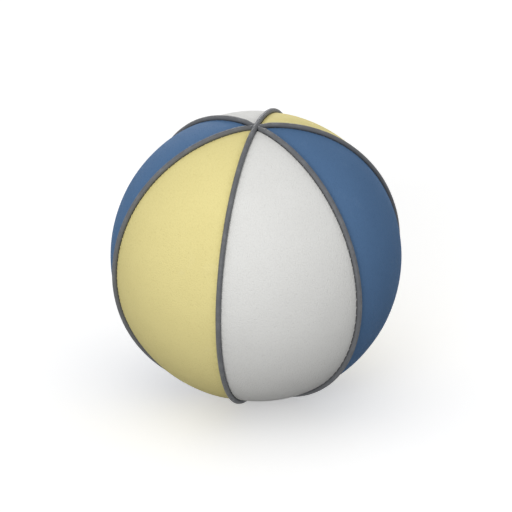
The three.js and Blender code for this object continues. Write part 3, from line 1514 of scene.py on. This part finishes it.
@dataclass
class Piping:
    """Piping of the six seams: a bead on a sewing flange. One hoop closes the ball, four end on it."""

    sides: int = 40
    steps: int = 480
    mitre_gap: float = 0.3 * MM
    cope_gap: float = 0.06 * MM
    sink: float = 0.8 * MM
    sink_start: float = 11.0 * MM
    sink_end: float = 4.0 * MM
    unevenness: float = 0.05 * MM
    unevenness_scale: float = 70.0

    def section(self, shape: bmesh.types.BMesh, swell: float) -> None:
        """Draws the bead and its flange across the upper pole.

        Args:
            shape: the bmesh that the outline is added to.
            swell: how much bigger the bead is than the real one.
        """
        stand = Matrix.Translation((0.0, 0.0, SIZES.bead_centre)) @ Matrix.Rotation(math.pi / 2, 4, "Y")
        bead = bmesh.ops.create_circle(
            shape, segments=self.sides, radius=SIZES.bead + swell, matrix=stand, cap_ends=False
        )["verts"]
        bead.sort(key=lambda point: point.co.z)
        bmesh.ops.delete(shape, geom=bead[:1], context="VERTS")
        sprout = bmesh.ops.extrude_vert_indiv(shape, verts=bead[1:3])["verts"]
        for foot in sprout:
            foot.co = (0.0, math.copysign(SIZES.flange / 2, foot.co.y), SIZES.radius - SIZES.seam_depth)
        bmesh.ops.contextual_create(shape, geom=sprout)

    def ring(self, angle: float, steps: int, swell: float = 0.0) -> bmesh.types.BMesh:
        """Spins the piping about the ball.

        Args:
            angle: how far round it goes from the upper pole, towards +X.
            steps: steps along it.
            swell: how much bigger the bead is than the real one.

        Returns:
            The piping in the XZ plane.
        """
        shape = bmesh.new()
        self.section(shape, swell)
        Bench.spin(shape, steps, angle)
        Bench.close(shape)
        return shape

    def soften(self, shape: bmesh.types.BMesh, turn: Matrix) -> None:
        """Makes the bead slightly uneven, so that it looks drawn and sewn.

        Args:
            shape: the piping in the XZ plane.
            turn: what takes it to its place.
        """
        for point in shape.verts:
            middle = Vector((point.co.x, 0.0, point.co.z)).normalized() * SIZES.bead_centre
            out = point.co - middle
            bulge = noise.noise((turn @ middle) * self.unevenness_scale)
            point.co = middle + out * (1 + bulge * self.unevenness / SIZES.bead)

    def sink_ends(self, shape: bmesh.types.BMesh) -> None:
        """Sinks the bead towards both poles, so that the hoop runs on over it unbroken.

        Args:
            shape: a side piping in the XZ plane.
        """
        for point in shape.verts:
            out = Vector((point.co.x, 0.0, point.co.z))
            if out.length > SIZES.radius - SIZES.seam_depth / 2:
                near = 1 - smooth_step(out.x, self.sink_end, self.sink_start)
                point.co -= out.normalized() * self.sink * near

    def map_length(self, piece: bpy.types.Object, turn: Matrix) -> None:
        """Lays a UV map along the piping and round its bead, in metres.

        Args:
            piece: the piping at its place.
            turn: what took it there from the XZ plane.
        """
        shape = bmesh.new()
        shape.from_mesh(piece.data)
        layer = shape.loops.layers.uv.new("coating")
        back = turn.inverted()
        for face in shape.faces:
            middle = back @ face.calc_center_median()
            facing = math.atan2(middle.x, middle.z)
            for loop in face.loops:
                there = back @ loop.vert.co
                along = math.atan2(there.x, there.z)
                along += FULL_TURN * round((facing - along) / FULL_TURN)
                around = math.atan2(there.y, math.hypot(there.x, there.z) - SIZES.bead_centre)
                loop[layer].uv = (SIZES.bead_centre * along, SIZES.bead * around)
        shape.to_mesh(piece.data)
        shape.free()

    def finish(self, piece: bpy.types.Object, turn: Matrix, node: str) -> None:
        """Dresses and mounts a piping.

        Args:
            piece: the piping in the XZ plane.
            turn: what takes it to its place.
            node: the CAD node that it stands for.
        """
        piece.data.transform(turn)
        self.map_length(piece, turn)
        piece.data.materials.clear()
        piece.data.materials.append(PipingFinish().material())
        Bench.mount(piece, BALL_BODY, "piping", node)

    def dress_hoop(self) -> None:
        """Makes the piping of the closing seam, a whole hoop through both poles."""
        turn = seam_turn(CLOSING_SEAM)
        shape = self.ring(FULL_TURN, self.steps)
        self.soften(shape, turn)
        self.finish(Bench.piece("cord_closing_hoop", shape), turn, "piping_closing_hoop")

    def dress_side(self, seam: Seam) -> None:
        """Makes the piping of a side seam, mitred against its neighbour and coped to the hoop.

        Args:
            seam: the seam.
        """
        side = seam.hoop_side.value
        shape = self.ring(FULL_TURN / 2, self.steps // 2)
        self.soften(shape, seam.turn)
        self.sink_ends(shape)
        self.trim(shape, side * GORE_ANGLE, self.mitre_gap / 2)
        self.trim(shape, -side * HALF_GORE, 0.0)
        piece = Bench.piece(f"cord_{seam.name}", shape)
        envelope = self.ring(FULL_TURN, self.steps // 2, self.cope_gap)
        hoop_turn = Matrix.Rotation(side * GORE_ANGLE, 4, "Z")
        bmesh.ops.transform(envelope, matrix=hoop_turn, verts=envelope.verts)
        Bench.cut(piece, Bench.piece("cope", envelope))
        self.finish(piece, seam.turn, f"piping_{seam.name}")

    def trim(self, shape: bmesh.types.BMesh, azimuth: float, room: float) -> None:
        """Cuts a piping flat and closes the cut.

        Args:
            shape: the piping.
            azimuth: direction of the side that is kept.
            room: distance of the cut from the ball's axis.
        """
        facing = Vector((math.cos(azimuth), math.sin(azimuth), 0.0))
        whole = shape.verts[:] + shape.edges[:] + shape.faces[:]
        bmesh.ops.bisect_plane(
            shape, geom=whole, dist=MERGE_REACH, plane_co=facing * room, plane_no=facing, clear_inner=True
        )
        rims = [edge for edge in shape.edges if edge.is_boundary]
        bmesh.ops.holes_fill(shape, edges=rims)
        bmesh.ops.recalc_face_normals(shape, faces=shape.faces)


@dataclass(frozen=True)
class Valve:
    """Bladder and needle valve on +Y, with the hole that the layers over them have."""

    head: float = 4.2 * MM
    head_height: float = 1.4 * MM
    head_top: float = 104.1 * MM
    head_fall: float = 0.35 * MM
    stem: float = 2.6 * MM
    stem_tip: float = 1.5 * MM
    taper: float = 2.5 * MM
    bore: float = 2.9 * MM
    neck: float = 4.5 * MM
    neck_top: float = 102.4 * MM
    flange: float = 10.0 * MM
    flange_wall: float = 1.4 * MM
    boss: float = 11.0 * MM
    needle: float = 1.0 * MM
    needle_depth: float = 9.0 * MM
    countersink: float = 0.5 * MM
    ring: float = 2.9 * MM
    ring_width: float = 0.5 * MM
    ring_depth: float = 0.2 * MM
    core_easing: float = 0.06 * MM
    bladder: float = 98.56 * MM
    bladder_wall: float = 0.8 * MM
    bladder_hole: float = 4.8 * MM
    bladder_steps: int = 64
    parting_half: float = 0.5 * MM
    parting_height: float = 0.3 * MM
    panel_hole: float = 4.5 * MM
    pad_hole: float = 4.8 * MM
    lip: float = 0.7 * MM
    lip_lift: float = 0.14 * MM
    lip_steps: int = 6
    hole_reach: float = 10.5 * MM
    steps: int = 72

    def height_on(self, sphere: float, radius: float) -> float:
        """Height of a sphere's surface at a distance from the valve's axis."""
        return math.sqrt(sphere**2 - radius**2)

    @property
    def flange_top(self) -> float:
        """Height of the flange at its rim."""
        return self.height_on(self.bladder - self.bladder_wall, self.flange) - SIZES.gap

    @property
    def flange_root(self) -> float:
        """Height of the flange where it meets the neck."""
        return self.height_on(self.bladder - self.bladder_wall, self.neck) - SIZES.gap

    @property
    def boss_end(self) -> float:
        """Height of the inner end of the housing and of the core."""
        return self.flange_root - self.flange_wall - self.boss

    def hole_tool(self, radius: float, lip: float, surface: float) -> bpy.types.Object:
        """Makes the tool that cuts the valve's hole in a layer.

        Args:
            radius: the hole's radius.
            lip: radius of its rounded lip, or zero.
            surface: height of the layer's outer face round the hole.

        Returns:
            The tool.
        """
        start, end = SIZES.radius - self.hole_reach, SIZES.radius + self.hole_reach
        rounds = self.lip_steps if lip else 0
        profile = [(0.0, start), (radius, start)]
        for step in range(rounds + 1):
            angle = math.pi / 2 * step / max(1, rounds)
            profile.append((radius + lip * (1 - math.cos(angle)), surface - lip * (1 - math.sin(angle))))
        profile += [(profile[-1][0], end), (0.0, end)]
        return Bench.piece("hole", Bench.turned(profile, self.steps))

    def pierce_panel(self, panel: bpy.types.Object, crown: float) -> None:
        """Cuts the hole for the valve's head into a cover.

        Args:
            panel: the cover.
            crown: how far it stands over the ball's surface there.
        """
        surface = self.height_on(SIZES.radius + crown, self.panel_hole + self.lip)
        Bench.cut(panel, self.hole_tool(self.panel_hole, self.lip, surface + self.lip_lift))

    def pierce_backing(self, layer: bpy.types.Object) -> None:
        """Cuts the hole for the valve's neck into a foam pad or a lining."""
        Bench.cut(layer, self.hole_tool(self.pad_hole, 0.0, SIZES.radius))

    def dress_core(self) -> None:
        """Makes the plug with its needle hole."""
        floor = self.head_top - self.head_height
        groove = self.head_top - self.ring_depth
        profile = [
            (0.0, self.boss_end),
            (self.stem_tip, self.boss_end),
            (self.stem, self.boss_end + self.taper),
            (self.stem, floor),
            (self.head, floor),
            (self.head, self.head_top),
            (self.ring + self.ring_width / 2, self.head_top),
            (self.ring + self.ring_width / 4, groove),
            (self.ring - self.ring_width / 4, groove),
            (self.ring - self.ring_width / 2, self.head_top),
            (self.needle + self.countersink, self.head_top),
            (self.needle, self.head_top - self.countersink),
            (self.needle, self.head_top - self.needle_depth),
            (0.0, self.head_top - self.needle_depth),
        ]
        shape = Bench.turned(profile, self.steps)
        Bench.ease_edges(shape, self.core_easing)
        self.round_head(shape)
        core = Bench.piece("valve_plug", shape, VALVE_RUBBER)
        Bench.mount(core, VALVE_BODY, "valve_rubber", "valve_core")

    def round_head(self, shape: bmesh.types.BMesh) -> None:
        """Domes the rim of the head, so that it meets the ball softly.

        Args:
            shape: the plug.
        """
        flat = self.ring + self.ring_width
        for point in shape.verts:
            away = math.hypot(point.co.x, point.co.z)
            top = point.co.y > self.head_top - self.head_height / 2
            if top and away > flat:
                point.co.y -= self.head_fall * ((away - flat) / (self.head - flat)) ** 2

    def dress_housing(self) -> None:
        """Makes the housing: neck, flange under the bladder, and boss."""
        wall = self.flange_wall
        profile = [
            (self.bore, self.boss_end),
            (self.neck, self.boss_end),
            (self.neck, self.flange_root - wall),
            (self.flange, self.flange_top - wall),
            (self.flange, self.flange_top),
            (self.neck, self.flange_root),
            (self.neck, self.neck_top),
            (self.bore, self.neck_top),
            (self.bore, self.boss_end),
        ]
        shape = Bench.turned(profile, self.steps)
        Bench.ease_edges(shape, SIZES.gap)
        housing = Bench.piece("valve_seat", shape, VALVE_RUBBER)
        Bench.mount(housing, BALL_BODY, "valve_rubber", "valve_housing")

    def dress_bladder(self) -> None:
        """Makes the bladder, with the parting line of its mould and a hole for the housing's neck."""
        shape = bmesh.new()
        shape.verts.new((0.0, -self.bladder, 0.0))
        sweep = math.pi - math.asin(self.bladder_hole / self.bladder)
        Bench.spin(shape, self.bladder_steps, sweep, Z_AXIS)
        Bench.spin(shape, 2 * self.steps)
        Bench.close(shape)
        self.part_mould(shape)
        bmesh.ops.solidify(shape, geom=shape.faces[:], thickness=self.bladder_wall)
        bladder = Bench.piece("bladder_wall", shape, BUTYL)
        Bench.mount(bladder, BALL_BODY, "butyl", "bladder")

    def part_mould(self, shape: bmesh.types.BMesh) -> None:
        """Raises the parting line of the mould round the bladder.

        Args:
            shape: the bladder's outer face.
        """
        near = 0.01 * MM
        for level in (-self.parting_half, 0.0, self.parting_half):
            whole = shape.verts[:] + shape.edges[:] + shape.faces[:]
            middle = (0.0, 0.0, level)
            bmesh.ops.bisect_plane(shape, geom=whole, dist=near, plane_co=middle, plane_no=Z_AXIS)
        for point in shape.verts:
            if abs(point.co.z) < 2 * near:
                point.co *= 1 + self.parting_height / self.bladder


def seen_ray(shader: Shader) -> Value:
    """Finds whether a ray comes from the camera, or by way of gloss or glass.

    Args:
        shader: the tree that asks.

    Returns:
        1 if it does, or else 0.
    """
    camera, gloss, glass = (
        shader.node("ShaderNodeLightPath", None, None, name)
        for name in ("Is Camera Ray", "Is Glossy Ray", "Is Transmission Ray")
    )
    return camera.largest(gloss).largest(glass)


@dataclass(frozen=True)
class FloorFinish(Finish):
    """Studio floor, white to the camera and pale grey to the light that it throws back."""

    name: str = "studio_floor"
    bounce: Colour = (0.18, 0.18, 0.18)
    seen: Colour = (0.86, 0.86, 0.86)
    dark: Colour = (0.0, 0.0, 0.0)
    white: Colour = (1.0, 1.0, 1.0)
    lift: float = 0.36
    roughness: float = 0.9
    gloss: float = 0.0

    def surface(self, shader: Shader) -> dict[str, object]:
        """Wires the floor.

        Args:
            shader: the material's empty tree.

        Returns:
            Values or links for the Principled shader's inputs.
        """
        seen = seen_ray(shader)
        return {
            "Base Color": shader.blend(seen, self.bounce, self.seen),
            "Emission Color": shader.blend(seen, self.dark, self.white),
            "Emission Strength": self.lift,
            "Roughness": self.roughness,
            "Specular IOR Level": self.gloss,
        }


@dataclass(frozen=True)
class Lamp:
    """A soft light: where it comes from, what it gives a white surface square to it, how wide it is."""

    name: str
    source: Triple
    level: float
    spread: float

    def hang(self) -> None:
        """Hangs the lamp."""
        data = bpy.data.lights.new(self.name, "SUN")
        data.energy = math.pi * self.level
        data.angle = math.radians(self.spread)
        lamp = bpy.data.objects.new(self.name, data)
        lamp.rotation_euler = (-Vector(self.source)).to_track_quat("-Z", "Y").to_euler()
        bpy.context.collection.objects.link(lamp)


LAMPS = (
    Lamp("key_light", (-0.516, -0.826, 0.225), level=0.5, spread=45.0),
    Lamp("top_light", (-0.1, -0.1, 1.0), level=0.09, spread=60.0),
    Lamp("back_light", (0.2, 0.98, 0.04), level=0.42, spread=25.0),
)


@dataclass(frozen=True)
class Studio:
    """Pale floor, soft light and the camera of the photograph."""

    azimuth: float = math.radians(-15.0)
    elevation: float = math.radians(27.6)
    frame_width: float = 0.371
    camera_distance: float = 2.0
    sky_level: float = 0.6
    floor_half: float = 6.0

    def place_camera(self) -> None:
        """Sets the camera, aimed at the ball's centre."""
        level = Vector((math.sin(self.azimuth), -math.cos(self.azimuth), 0.0))
        out = math.cos(self.elevation) * level + math.sin(self.elevation) * Vector(Z_AXIS)
        data = bpy.data.cameras.new("photo_camera")
        data.type = "ORTHO"
        data.ortho_scale = self.frame_width
        camera = bpy.data.objects.new("photo_camera", data)
        camera.location = out * self.camera_distance
        camera.rotation_euler = (-out).to_track_quat("-Z", "Y").to_euler()
        bpy.context.collection.objects.link(camera)
        bpy.context.scene.camera = camera

    def light_sky(self) -> None:
        """Sets the even light from all round, with a white background."""
        world = bpy.data.worlds.new("studio_sky")
        world.use_nodes = True
        bpy.context.scene.world = world
        shader = Shader(world.node_tree)
        strength = self.sky_level + (1 - self.sky_level) * seen_ray(shader)
        sockets = {"Color": (1.0, 1.0, 1.0, 1.0), "Strength": strength}
        sky = shader.node("ShaderNodeBackground", None, sockets, "Background")
        shader.node("ShaderNodeOutputWorld", None, {"Surface": sky}, None)

    def lay_floor(self, height: float) -> None:
        """Lays the floor.

        Args:
            height: the floor's height.
        """
        shape = bmesh.new()
        level = Matrix.Translation((0.0, 0.0, height))
        bmesh.ops.create_grid(shape, x_segments=1, y_segments=1, size=self.floor_half, matrix=level)
        floor = Bench.piece("studio_floor", shape, FloorFinish())

    def set_up(self, floor_height: float) -> None:
        """Sets up the whole studio.

        Args:
            floor_height: the floor's height.
        """
        bpy.context.scene.view_settings.view_transform = "Standard"
        self.place_camera()
        for lamp in LAMPS:
            lamp.hang()
        self.light_sky()
        self.lay_floor(floor_height)


def main() -> None:
    """Builds the ball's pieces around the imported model, then the studio."""
    logging.basicConfig(level=logging.INFO, format="%(message)s")
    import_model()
    valve = Valve()
    for gore in GORES:
        cover = Cover(gore)
        panel = cover.dress()
        pad = Foam(gore).dress()
        cloth = Lining(gore).dress()
        if gore.holds_valve:
            valve.pierce_panel(panel, cover.crown_height)
            valve.pierce_backing(pad)
            valve.pierce_backing(cloth)
    piping = Piping()
    piping.dress_hoop()
    for seam in SIDE_SEAMS:
        piping.dress_side(seam)
    valve.dress_bladder()
    valve.dress_housing()
    valve.dress_core()
    Studio().set_up(-(SIZES.bead_centre + SIZES.bead + piping.unevenness))


if __name__ == "__main__":
    main()
